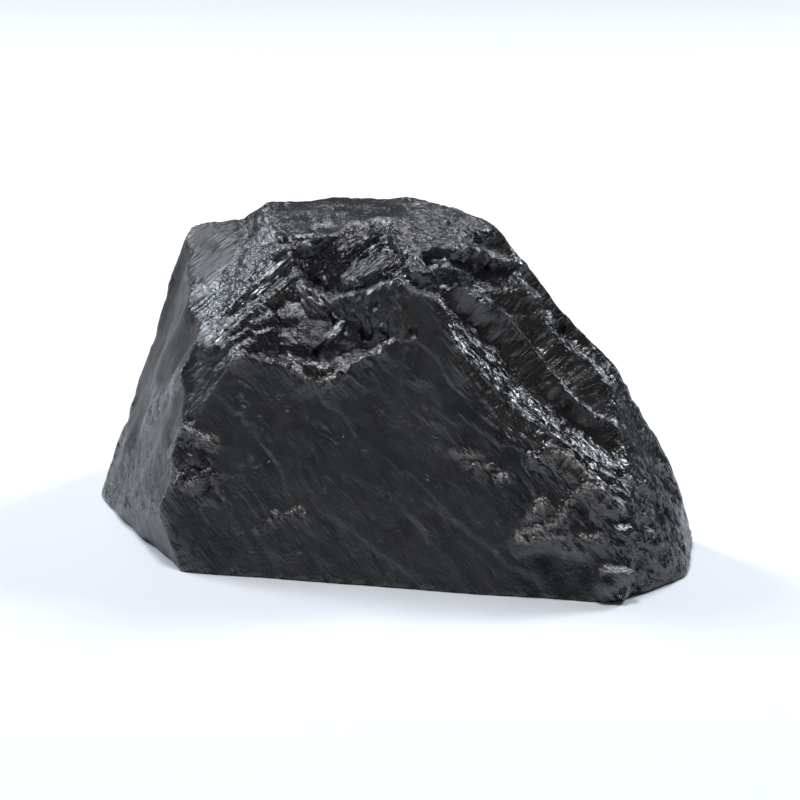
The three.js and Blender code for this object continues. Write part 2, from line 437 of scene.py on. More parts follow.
# Pits: how far right and how far up in the elevation, half width, half height and depth.
PITS = [(-5.3, 37.0, 0.9, 1.6, 1.0), (-3.5, 40.4, 0.5, 0.7, 0.6), (1.9, 36.0, 0.5, 0.8, 0.5),
        (10.8, 50.3, 1.6, 0.8, 0.9), (24.6, 36.8, 1.1, 1.0, 0.8), (-23.2, 25.7, 0.5, 0.4, 0.4),
        (-31.6, 23.1, 0.8, 0.5, 0.5), (7.2, 53.6, 0.7, 0.4, 0.5)]
# Sides turned away from the front elevation, which none of its marks reach.
HIDDEN = ("seat", "back", "back_left", "back_right")

CLIFF = 0.9  # how wide the drop above a ledge is, in the elevation
LEDGE_TAPER = 1.5  # how far from its ends a ledge dies out
LEDGE_SAG = 1.5  # power by which the layer below a ledge falls away
LEDGE_GLOW = 0.9  # how far from a ledge its broken edge shows
LEDGE_POWDER_AND_HIGHLIGHT = 0.36  # and how far from it the edge is painted pale, powdered coal and painted highlight
GLOW_FROM = 1.4  # what the glow falls from on the ledge itself, before it is cut to 1
POWDER_AND_HIGHLIGHT_FROM = 1.6  # and what that pale edge falls from
BROKEN_STEP = 0.5  # height of the lowest ledge whose edge is wholly broken
POWDER_AND_HIGHLIGHT_STEP = 0.7  # and of the lowest whose edge is wholly painted pale
CRACK_END = 0.3  # how open a crack still is at its ends
PIT_RIM = 1.3  # how far out a pit begins, in half widths
PIT_FADE = 0.5  # and how much nearer it is at its full depth

# The right slope's ridges, by how far down to the right along the slope and how far across it.
RIDGE_CRESTS = [
    ([-20, -12, -5, 3, 11, 19, 30], [21, 21, 22, 22, 21, 20, 20]),
    ([-20, -12, -5, 3, 11, 19, 30], [30.3, 29.9, 29.0, 29.7, 29.9, 27.8, 27.5]),
    ([-20, -13, -3, 2, 8, 13, 20, 26], [37.6, 38.6, 36.6, 35.8, 37.2, 37.9, 36.0, 34.5]),
    ([-18, -12, -10, -3, 3, 10, 16, 26], [43.6, 43.7, 42.4, 41.5, 41.6, 40.4, 39.4, 37.5]),
    ([-20, 30], [49, 49]),
]
# The tread above each crest but the last: its width, and how steeply it falls from the crest.
TREADS = [(1.0, 0.5), (5.0, 0.45), (1.2, 1.3), (2.0, 1.0)]
TREAD_OVER_CREST = 0.4  # how far a tread's finish runs on past its crest,
TREAD_OVER_FOOT = 0.2  # past its foot,
TREAD_FADE = 0.5  # and how far it takes to fade
RISER_POWER = 1.5  # by which a riser is hollowed
RIDGE_RISE = 0.8  # how far the ridges stand out as a whole


def ridges(p):
    """Height of the right slope's ridges, and how much of each point lies on a rough tread: down
    across the tread from each crest, then back up the riser to the next one."""
    down, across = along_slope(elevation(warped(p, 3.0, 1.3, 140)))
    crests = np.stack([np.interp(down, downs, acrosses) for downs, acrosses in RIDGE_CRESTS])
    height = np.zeros(len(p))
    tread = np.zeros(len(p))
    for low, high, (width, steepness) in zip(crests[:-1], crests[1:], TREADS):
        inside = (across >= low) & (across < high)
        climbed = np.clip((across - low - width) / (high - low - width), 0, 1)
        fallen = np.minimum((across - low) / width, 1)
        drop = steepness * width
        height = np.where(inside, drop * (climbed**RISER_POWER - fallen), height)
        edge = np.minimum(across - low + TREAD_OVER_CREST, low + width + TREAD_OVER_FOOT - across)
        tread = np.maximum(tread, np.clip(edge / TREAD_FADE, 0, 1) * inside)
    return height + RIDGE_RISE, tread


def located_marks(place):
    """Height of the ledges, cracks and pits that have a place of their own, how much broken edge and
    how much pale edge, powdered coal and painted highlight, there is at each point of the elevation."""
    height, broken, pale_powder_and_highlight = np.zeros((3, len(place)))
    for step, fade, line in LEDGES.values():
        side, gap, end = beside(place, line)
        ends = np.clip(end / LEDGE_TAPER, 0, 1)
        below = np.clip(1 + side / fade, 0, 1) ** LEDGE_SAG
        above = np.clip(1 - side / CLIFF, 0, 1)
        height += step * ends * np.where(side < 0, below, above)
        glow = ends * np.clip(GLOW_FROM - gap / LEDGE_GLOW, 0, 1) * min(1, step / BROKEN_STEP)
        broken = np.maximum(broken, glow)
        # The ledge's edge painted pale: partly powdered coal, partly a painted highlight.
        powder_and_highlight_share = ends * np.clip(POWDER_AND_HIGHLIGHT_FROM - gap / LEDGE_POWDER_AND_HIGHLIGHT, 0, 1) * min(1, step / POWDER_AND_HIGHLIGHT_STEP)
        pale_powder_and_highlight = np.maximum(pale_powder_and_highlight, powder_and_highlight_share)
    for depth, width, line in CRACKS.values():
        _, gap, end = beside(place, line)
        height -= depth * np.clip(1 - gap / width, 0, 1) * np.clip(CRACK_END + end, 0, 1)
    for x, v, half_width, half_height, depth in PITS:
        away = np.hypot((place[:, 0] - x) / half_width, (place[:, 1] - v) / half_height)
        height -= depth * np.clip((PIT_RIM - away) / PIT_FADE, 0, 1)
    return height, broken, pale_powder_and_highlight


def within(place, x, v, half_width, half_height, turn=0.0, soft=0.3):
    """1 inside an oval of the elevation, turned by some degrees, and 0 outside it, with a soft edge."""
    turn = np.radians(turn)
    right, up = place[:, 0] - x, place[:, 1] - v
    along = (right * np.cos(turn) + up * np.sin(turn)) / half_width
    across = (up * np.cos(turn) - right * np.sin(turn)) / half_height
    return np.clip((1 - np.hypot(along, across)) / soft, 0, 1)


def between(values, low, high, soft):
    """1 where values lie between two bounds and 0 past them, fading in within a soft width."""
    return np.clip((values - low) / soft, 0, 1) * np.clip((high - values) / soft, 0, 1)


def height_of(line, place):
    """How far up a line of the elevation runs above each point's own distance to the right."""
    return np.interp(place[:, 0], *np.transpose(line))


FINISHES = ("gloss", "flaky", "warmth", "rising", "pale_powder_and_highlight")  # the point attributes
HEIGHT, PALE_POWDER_AND_HIGHLIGHT = 0, 5  # columns of a finish


def finish(p, height=0.0, gloss=0.4, flaky=0.2, warmth=0.2, rising=0.0, pale_powder_and_highlight=0.0):
    """One row for each point: the height of its marks in millimetres, then its gloss, how flaky and
    how warm it is, whether its streaks rise to the right instead of falling, and how pale it is
    painted, partly as powdered coal and partly as a painted highlight, each about 0 to 1."""
    columns = (height, gloss, flaky, warmth, rising, pale_powder_and_highlight)
    return np.stack([np.broadcast_to(column, len(p)) for column in columns], 1)


def laid_over(under, over, mask):
    """One finish laid over another where the mask is 1."""
    return under + (over - under) * mask[:, None]


def past(values, line, soft, p, seed, waver=3, span=5):
    """1 where values are past a line and 0 before it, fading in over a soft width, with noise of a
    span added to the values so that the line wavers."""
    return np.clip((values - line + waver * fractal(p / span, 2, seed)) / soft, 0, 1)


# Spots of the elevation: the crumbled knot at the crown, where its streaks meet, the point where the
# buttress's streaks meet, and the light crease across the left face.
KNUCKLE = (0.2, 51.2)
BUTTRESS_TOP = (-1.0, 44.5)
LEFT_CREASE = [(-17.5, 38.5), (-28.2, 33.0), (-34.4, 29.0), (-39.6, 20.0), (-43.5, 11.0)]


def dull_face(p):
    """The broad front: nearly flat and dull, with faint streaks falling to the right, a few low steps
    and draped folds at its right."""
    right, up = elevation(p).T
    loose = warped(p, 6, 2.0, 40)
    streaks = drawn_out(ridged, loose, lying("front", -58), seed=41, length=12, width=0.8,
                        height=0.11, detail=3) * patches(p, 9, 42, -0.1, 0.4)
    low = drawn_out(plates, loose, lying("front", -52), seed=43, length=20, width=6, height=0.25,
                    detail=2.5) + 0.3 * fractal(p / 4, 4, 47)
    mottled = 0.08 + 0.2 * patches(p, 5, 44, 0.0, 0.3)
    brown = np.clip(0.25 + 1.3 * fractal(p / 6, 4, 53), 0, 1)
    # Small pits with pale specks: the pale colour is partly powdered coal, partly a painted highlight.
    specks = patches(p, 1.4, 52, 0.3, 0.1)
    plain = finish(p, streaks + low - 0.2 * specks, gloss=0.35 + 0.3 * fractal(p / 4, 3, 45),
                   flaky=mottled + 0.4 * specks, warmth=brown, pale_powder_and_highlight=0.3 * specks)
    smooth = finish(p, streaks * 0.5 + low, gloss=0.6, flaky=0.1, warmth=0.0)
    plain = laid_over(plain, smooth, past(right, 12, 8, p, seed=46, waver=4, span=6))
    folds = drawn_out(ridged, loose, lying("front", -38), seed=48, length=10, width=1.8, height=0.45,
                      detail=3)
    draped = finish(p, folds - 0.1, gloss=0.65, flaky=0.45, warmth=0.35)
    over_foot = past(up - 5.0 + 0.1 * (right - 16), 0, 4, p, seed=51, waver=2, span=4)
    far = past(right, 15, 5, p, seed=49) * over_foot
    upper = past(right, 5, 4, p, seed=50) * np.clip((up - 17) / 3, 0, 1)
    return laid_over(plain, draped, np.maximum(far, 0.5 * upper))


def ridged_slope(name, p):
    """The right slope: dark, finely grooved risers between torn treads that glint, one of them
    broad, and ripples at the far end."""
    loose = warped(p, 3, 1.0, 60)
    height, tread = ridges(p)
    grooves = drawn_out(ridged, loose, lying(name, 80), seed=61, length=4, width=0.8, height=0.2)
    riser = finish(p, grooves, gloss=0.72, flaky=0.12, warmth=0.8, rising=1.0)
    flakes = drawn_out(ridged, loose, lying(name, -50), seed=62, length=9, width=1.1, height=0.75,
                       detail=3)
    torn = finish(p, flakes, gloss=0.85, flaky=0.55, warmth=0.0, pale_powder_and_highlight=0.06)
    slope = laid_over(riser, torn, tread)
    slope[:, HEIGHT] += height
    ripples = drawn_out(ridged, loose, lying(name, -28), seed=64, length=10, width=1.6, height=0.7)
    rippled = finish(p, ripples, gloss=0.8, flaky=0.5, warmth=0.1)
    far = past(elevation(p)[:, 0], 32, 3, p, seed=65)
    return laid_over(slope, rippled, 0.8 * far)


def layered_shoulder(name, p):
    """The left shoulder: thin silvery layers rising to the right, brighter and darker in bands, and
    dull and brown above."""
    loose = warped(p, 3, 0.8, 70)
    way = lying(name, 40)
    layers = drawn_out(plates, loose, way, seed=71, length=13, width=2.2, height=0.36, detail=3.2)
    fibres = drawn_out(ridged, loose, way, seed=72, length=7, width=0.8, height=0.24)
    bands = drawn_out(fractal, loose, way, seed=75, length=12, width=1.3, height=0.7)
    silver = finish(p, layers + fibres, gloss=0.62 + bands, flaky=0.38 + bands, warmth=0.0,
                    rising=1.0)
    upper = finish(p, 0.8 * fractal(p / 7, 2, 73) + fibres * 0.5, gloss=0.1, flaky=0.55, warmth=0.8,
                   rising=1.0)
    return laid_over(silver, upper, past(elevation(p)[:, 1], 42.5, 2.5, p, seed=74))


def lumpy_crown(p):
    """The slopes under the crown: crumbled, with streaks running up to the knuckle."""
    loose = warped(p, 2.2, 0.8, 80)
    streaks = 0.5 * ridged(fanned(loose, KNUCKLE, length=6, width=1.2, reach=10), 3, 81)
    crumbs = 0.2 * chips(loose, 2.0, 82, lean=0.6)
    return finish(p, streaks + crumbs, gloss=0.6, flaky=0.5, warmth=0.1, rising=1.0)


def dark_shards(p):
    """Large flat shards, each leaning a little its own way, dark and smooth."""
    loose = warped(p, 4, 0.4, 90)
    shards = 0.22 * chips(loose, 4.5, 91, lean=0.9) + 0.1 * ridged(loose / 1.6, 2, 92)
    return finish(p, shards, gloss=0.8, flaky=0.12, warmth=0.2)


def smooth_buttress(p):
    """The buttress: smooth, with fine streaks running down from its top."""
    loose = warped(p, 5, 1.0, 100)
    streaks = 0.6 * ridged(fanned(loose, BUTTRESS_TOP, length=9, width=1.3, reach=12), 3, 101)
    steps = 0.3 * plates(fanned(loose, BUTTRESS_TOP, length=14, width=3.0, reach=12), 2.5, 102)
    flaky = 0.2 + 0.3 * patches(p, 4, 103, 0, 0.3)
    return finish(p, streaks + steps, gloss=0.55, flaky=flaky, warmth=0.15, rising=0.4)


def worn_cap(p):
    """The crown's top: even and glossy on the left, pitted and streaked on the right."""
    loose = warped(p, 3, 1.0, 110)
    low = 0.6 * fractal(p / 5, 3, 111) + 0.22 * plates(p / 9, 4, 112)
    even = finish(p, low, gloss=0.95, flaky=0.1, warmth=0.1)
    streaks = drawn_out(ridged, loose, lying("cap_right", -40), seed=113, length=4, width=1.4,
                        height=0.6, detail=3)
    pits = 0.5 * patches(loose, 1.6, 114, 0.22, 0.1)
    pitted = finish(p, streaks - pits, gloss=0.45, flaky=0.6, warmth=0.3)
    return laid_over(even, pitted, past(elevation(p)[:, 0], 0.5, 3, p, seed=117, span=4))


def folded_left(name, p):
    """The left face: long soft folds running down, grey and brown, with a fibrous foot and one light
    crease across it."""
    right, up = elevation(p).T
    loose = warped(p, 10, 4.0, 130)
    way = lying(name, 66)
    folds = drawn_out(fractal, loose, way, seed=131, length=34, width=7, height=2.4)
    ripples = drawn_out(fractal, loose, way, seed=132, length=16, width=3, height=0.3)
    fibres = drawn_out(ridged, loose, lying(name, -78), seed=133, length=7, width=1.4, height=0.22)
    brown = drawn_out(fractal, loose, way, seed=134, length=30, width=6, height=0.7)
    _, gap, end = beside(elevation(loose), LEFT_CREASE)
    crease = np.exp(-((gap / 1.6) ** 2)) * np.clip(end / 3, 0, 1)
    soft = finish(p, folds + ripples + 0.9 * crease, gloss=0.3 + 0.4 * crease,
                  flaky=0.06 + 0.3 * crease, warmth=0.6 + brown, rising=1.0)
    fibrous = finish(p, folds + fibres, gloss=0.5, flaky=0.2, warmth=0.15)
    foot = np.clip((22 - up - 0.5 * (right + 38)) / 5, 0, 1)
    return laid_over(soft, fibrous, foot)


def shelled_back(name, p):
    """The hidden sides: shell-like ripples, layers and chipped patches, as on any broken face."""
    loose = warped(p, 9, 4.0, 160)
    way = unit(FACES[name][1] + 90, 35)
    shells = drawn_out(plates, loose, way, seed=161, length=26, width=9, height=0.4, detail=3.0)
    shells = shells + 1.4 * fractal(loose / 12, 2, 167)
    ripples = drawn_out(plates, loose, way, seed=162, length=14, width=4, height=0.22, detail=2.5)
    ripples = ripples * patches(p, 9, 163, -0.05, 0.2)
    chipped = 0.12 * chips(loose, 2.6, 165)
    even = finish(p, shells + 0.3 * fractal(p / 5, 2, 164), gloss=0.4, flaky=0.2, warmth=0.3)
    torn = finish(p, shells + ripples + chipped, gloss=0.7, flaky=0.6, warmth=0.15)
    return laid_over(even, torn, patches(p, 12, 166, 0.05, 0.15))


def torn_toe(name, p):
    """The toe: torn folds sweeping down to the right."""
    sweep = drawn_out(ridged, warped(p, 4, 1.2, 170), lying(name, -38), seed=171, length=12,
                      width=1.7, height=0.8, detail=3)
    return finish(p, sweep - 0.3, gloss=0.7, flaky=0.4, warmth=0.2)


def face_finish(name, p):
    """One face's marks and finish."""
    if name == "seat":
        return finish(p)
    if name == "front":
        return dull_face(p)
    if name in STAIRED:
        return ridged_slope(name, p)
    if name in ("shoulder", "saddle"):
        return layered_shoulder(name, p)
    if name in ("hollow", "scarp"):
        return lumpy_crown(p)
    if name in ("brow", "notch"):
        return dark_shards(p)
    if name == "flank":
        return smooth_buttress(p)
    if name in ("cap", "cap_left", "cap_right"):
        return worn_cap(p)
    if name in ("left", "left_foot"):
        return folded_left(name, p)
    if name in ("toe", "toe_end", "toe_foot"):
        return torn_toe(name, p)
    return shelled_back(name, p)


# Lines of the elevation that bound the broken places.
BROW_EDGE = [(-27.6, 30.0), (-23, 33.0), (-20.6, 32.1), (-16.4, 31.7), (-14.7, 30.9), (-12.2, 28.8),
             (-8, 30.9), (-0.5, 35.1), (2, 36.5)]
RECESS_TOP = [(-23, 33.2), (-17, 38.3), (-12.8, 39.2), (-9, 39.8), (-6, 38), (-1, 35.6)]
UNDERCUT = CRACKS["undercut"][2]
HOLLOW_RIM = [(-16, 48.8), (-11.4, 50.4), (-7.2, 53.0), (-1.3, 53.9), (2, 53.4)]
NOTCH_TOP = [(2, 47.2), (6, 48.4), (11, 47.8), (18, 46.4)]
NOTCH_FOOT = [(2, 43.5), (6, 42.6), (11, 42.0), (18, 42.6)]
CORNER = np.array([-34.1, 7.9, 19.0])  # the front's top left corner, worn off by a plane
CORNER_WAY = unit(-125.6, 31.7)  # the way the plane looks
CORNER_BITE = 0.9  # how far inside the corner it lies
CORNER_FADE = 0.25  # how far proud of it the bevel's finish is whole
CORNER_WEAR = 1.08  # how far a point is lowered for each millimetre that it stands proud of it
FRONT_REACH = 2.2  # how far the front is carried up past its crease
RECESS_DEPTH = 1.5
HOLLOW_DEPTH = 1.5
NOTCH_DEPTH = 1.2
KNOB = np.array([31.2, -9.0, 2.6])
KNOB_RADIUS = 3.1
KNOB_HEIGHT = 1.4
KNOB_FADE = 0.25  # share of its radius over which it gives way to the toe
# Ovals of the elevation that hold a broken place: how far right and how far up the middle is, half
# the width and half the height, and the degrees the oval is turned by.
SPOTS = {
    "splinter": (-9.8, 36.3, 2.4, 1.0, 48),
    "fan": (-5.4, 45.8, 5.0, 2.0, 28),
    "left_fan": (-12.8, 41.3, 3.6, 1.7, -28),
    "knuckle": (*KNUCKLE, 2.2, 3.2, 0),
    "chipped_corner": (-30.8, 16.5, 4.6, 7.0, 25),
    "toe": (35.5, 8.0, 7.5, 11.0, 35),
}
LEFT_FAN_TOP = (-20, 48)  # where the streaks of the left fan meet


def broken_places(p, place, shown, finishes):
    """The finishes, with the broken places that have a spot of their own laid over them in turn."""
    right, up = place.T
    loose = warped(p, 2.2, 0.8, 200)

    def lay(mask, over):
        nonlocal finishes
        finishes = laid_over(finishes, over, mask * shown)

    # The front carried up past its crease, to a ragged edge.
    reach = -(p - np.array(FACES["front"][0])) @ NORMALS["front"]
    front = dull_face(p)
    front[:, HEIGHT] += np.clip(reach, 0, FRONT_REACH)
    raised = np.clip((height_of(BROW_EDGE, place) - up) / 1.2, 0, 1)
    lay(raised * between(right, -28, 3, 2.5) * np.clip((up - 22) / 2, 0, 1), front)

    # The bevel at the front's top left corner.
    proud = (p - CORNER) @ CORNER_WAY + CORNER_BITE
    band = np.clip(proud / CORNER_FADE, 0, 1) * between(right, -37, -24, 2) * between(up, 18, 35, 2.5)
    fibres = drawn_out(ridged, loose, lying("shoulder", 52), seed=217, length=8, width=0.9, height=0.25)
    lay(band, finish(p, fibres - CORNER_WEAR * proud, gloss=0.25 + 0.6 * fractal(p / 3, 2, 219),
                     flaky=0.5, warmth=0.15, rising=1.0))

    # The recess under the crown, deepest along the front's edge, and a splinter that stands in it.
    brow = height_of(BROW_EDGE, place)
    top = height_of(RECESS_TOP, place)
    shards = dark_shards(p)
    sunk = np.clip(up - brow, 0, 1) * np.clip((top - up) / (top - brow), 0, 1)
    shards[:, HEIGHT] -= RECESS_DEPTH * sunk
    lay(between(up, brow, top, 0.4) * between(right, -23, -1, 1), shards)
    # The splinter's pale colour is partly powdered coal, partly a painted highlight.
    splinter = drawn_out(ridged, loose, lying("brow", 55), seed=201, length=4, width=0.8, height=0.35)
    lay(within(place, *SPOTS["splinter"]),
        finish(p, splinter, gloss=0.9, flaky=0.5, warmth=0.1, rising=1.0, pale_powder_and_highlight=0.5))

    # The undercut hollow above it, with two fans of flakes, and the crumbled knuckle beside it.
    hollow = between(up, height_of(UNDERCUT, place), height_of(HOLLOW_RIM, place), 0.6)
    flakes = drawn_out(ridged, loose, lying("hollow", 25), seed=202, length=5, width=1.1, height=0.75,
                       detail=3) + 0.2 * chips(loose, 1.8, 203, lean=0.8)
    lay(hollow * between(right, -16.5, 1.5, 1.2),
        finish(p, flakes - HOLLOW_DEPTH, gloss=1.0, flaky=0.9, warmth=0.0, rising=1.0))
    fan = 0.6 * ridged(fanned(loose, KNUCKLE, length=8, width=0.7, reach=7), 3, 204) - 0.2
    lay(within(place, *SPOTS["fan"]),
        finish(p, fan, gloss=0.85, flaky=0.8, warmth=0.1, rising=1.0, pale_powder_and_highlight=0.15))
    fan = 0.35 * ridged(fanned(loose, LEFT_FAN_TOP, length=8, width=0.8, reach=8), 2, 205) + 0.3
    lay(within(place, *SPOTS["left_fan"]),
        finish(p, fan, gloss=0.9, flaky=0.5, warmth=0.1, pale_powder_and_highlight=0.3))
    # The knuckle is painted pale: partly powdered coal, partly a painted highlight.
    crumbs = 0.5 * chips(loose, 1.1, 206, lean=1.0) + 0.5 * ridged(loose / 2, 2, 207)
    lay(within(place, *SPOTS["knuckle"]),
        finish(p, crumbs + 0.2, gloss=0.8, flaky=1.0, warmth=0.0, pale_powder_and_highlight=0.6))

    # The notch near the crown's right end, floored with large shards.
    drawn_at = elevation(warped(p, 5, 0.9, 208))
    foot, brim = height_of(NOTCH_FOOT, drawn_at), height_of(NOTCH_TOP, drawn_at)
    notch = between(drawn_at[:, 1], foot, brim, 0.5) * between(drawn_at[:, 0], 3.2, 18, 0.8)
    slabs = 0.16 * chips(warped(p, 5, 0.3, 214), 6.0, 218, lean=1.0)
    lay(notch, finish(p, slabs - NOTCH_DEPTH, gloss=0.85, flaky=0.12, warmth=0.1))

    # The chipped edge between the front and the left face.
    chipped = 0.28 * chips(warped(p, 3, 1.2, 210), 3.0, 211, lean=0.9)
    chipped = chipped + 0.25 * ridged(loose / 2, 2, 212)
    lay(within(place, *SPOTS["chipped_corner"], soft=0.4),
        finish(p, chipped, gloss=0.65, flaky=0.55, warmth=0.3))

    # The deep folds at the toe, and its knob.
    flow = drawn_out(ridged, warped(p, 4, 1.4, 215), lying("toe", -40), seed=216, length=13,
                     width=2.6, height=2.0, detail=3)
    lay(0.85 * within(place, *SPOTS["toe"], soft=0.5),
        finish(p, flow - 0.9, gloss=0.75, flaky=0.6, warmth=0.25))
    away = np.linalg.norm(p - KNOB, axis=1) / KNOB_RADIUS
    dome = KNOB_HEIGHT * np.sqrt(np.clip(1 - away**2, 0, 1)) + 0.4 * chips(p, 2.4, 213, lean=1.2)
    lay(np.clip((1 - away) / KNOB_FADE, 0, 1),
        finish(p, dome, gloss=1.1, flaky=0.1, warmth=0.0, pale_powder_and_highlight=0.2))
    return finishes


LOWEST_SHARE = 0.01  # a face with a smaller share in a point than this leaves no mark there
HIDDEN_FADE = 0.9  # how much of their height the marks lose along the hidden faces' creases
EDGE_BITE = 0.5  # how deep chips bite into a crease
# Added along creases and broken ledge edges: more gloss and flakes, and a little warm, pale colour that is
# a painted highlight.
TORN_CREASE_AND_HIGHLIGHT = np.array([0, 0.3, 0.4, 0.1, 0, 0.1])
BROKEN_EDGE_AND_HIGHLIGHT = np.array([0, 0.3, 0.4, 0.2, 0, 0.08])


def finished_surface():
    """The rough surface with its marks raised on it, and the finish there. Each face's marks count
    by its share in a point, and they are raised along the faces' normals in the same shares."""
    p, quads, shares = rough_surface(FINE_CELLS)
    shares = np.where(shares < LOWEST_SHARE, 0, shares)
    shares /= shares.sum(0)
    finishes = np.zeros((len(p), 1 + len(FINISHES)))
    outwards = np.zeros((len(p), 3))
    shown = np.zeros(len(p))
    for name, share in zip(NAMES, shares):
        here = share > 0
        finishes[here] += share[here, None] * face_finish(name, p[here])
        outwards += share[:, None] * NORMALS[name]
        if name not in HIDDEN:
            shown += share
    edge = 2 * (1 - shares.max(0))  # 1 where two faces share a point alike, 0 well inside a face
    finishes[:, HEIGHT] *= 1 - HIDDEN_FADE * edge * (1 - shown)
    bites = 0.3 + 1.1 * fractal(p / 8, 3, 191) + 0.12 * chips(warped(p, 3, 0.8, 192), 2.6, 193)
    finishes[:, HEIGHT] -= EDGE_BITE * edge * bites
    # Creases get a painted highlight of warm, pale colour along with their gloss and flakes.
    finishes += TORN_CREASE_AND_HIGHLIGHT * (edge * shown)[:, None]
    place = elevation(warped(p, 1.8, 0.9, 150))
    finishes = broken_places(p, place, shown, finishes)
    height, broken, pale_powder_and_highlight = located_marks(place)
    finishes += BROKEN_EDGE_AND_HIGHLIGHT * (broken * shown)[:, None]
    finishes[:, HEIGHT] += height * shown
    # The ledges' pale edges, partly powdered coal and partly painted highlight, broken up unevenly.
    uneven = np.clip(0.5 + 2.0 * fractal(p / 2.5, 3, 194), 0, 1)
    finishes[:, PALE_POWDER_AND_HIGHLIGHT] += pale_powder_and_highlight * shown * uneven
    p = p + finishes[:, :1] * outwards
    p[:, 2] = np.maximum(p[:, 2], 0)
    return p, quads, dict(zip(FINISHES, finishes[:, 1:].T))


def to_frame():
    """What to add to a drawing point, in millimetres, to place it in the frame: the solid's box is
    that of the coarse grid."""
    coarse, _, _ = rough_surface(COARSE_CELLS, as_solid=True)
    kept = coarse[coarse[:, 2] > 0]
    low, high = kept.min(0), kept.max(0)
    middle = (low + high) / 2
    return np.array([-middle[0], -middle[1], 0.0])


SHARP_EDGE = 38.0  # degrees between two facets past which their edge shows sharp


def in_scene(name, data):
    """A new object with its data, linked into the scene."""
    made = bpy.data.objects.new(name, data)
    bpy.context.scene.collection.objects.link(made)
    return made


def lump(place, material):
    """The lump as one smooth-shaded mesh, with its finish as point attributes."""
    p, quads, paints = finished_surface()
    mesh = bpy.data.meshes.new("coal_lump_broken")
    mesh.from_pydata((p + place) * MM, [], quads)
    mesh.shade_smooth()
    mesh.set_sharp_from_angle(angle=np.radians(SHARP_EDGE))
    for name, values in paints.items():
        mesh.attributes.new(name, "FLOAT", "POINT").data.foreach_set("value", values)
    mesh.materials.append(material)
    return in_scene("coal_lump_broken", mesh)


# --- Coal ---

def linear(code):
    """An sRGB hex colour as linear red, green and blue, with alpha 1."""
    values = [int(code[i : i + 2], 16) / 255 for i in (1, 3, 5)]
    return [v / 12.92 if v <= 0.04045 else ((v + 0.055) / 1.055) ** 2.4 for v in values] + [1]


def add(tree, kind, links=None, **settings):
    """Adds a node, sets its properties and sockets by name, and links sockets to other nodes' outputs."""
    node = tree.nodes.new("ShaderNode" + kind)
    for name, value in settings.items():
        if hasattr(node, name):
            setattr(node, name, value)
        else:
            node.inputs[name.replace("_", " ")].default_value = value
    for name, output in (links or {}).items():
        tree.links.new(output, node.inputs[name])
    return node


FLAKE_WIDTH = 0.5  # real flakes are finer still, too fine to show
FALLING_LENGTH = 2.6  # length of a flake where the streaks fall to the right
CLIMBING_LENGTH = 4.0  # and where they rise
GRAIN = 0.5  # of the dull faces, drawn as coarse as it needs to be to show
CLOUD = 2.5  # about how far apart more and less glossy places are
BUMP_HEIGHT = 0.8  # what a height of 1 stands for
FIBRE_SHARE = 0.5  # how high the fibres are in it


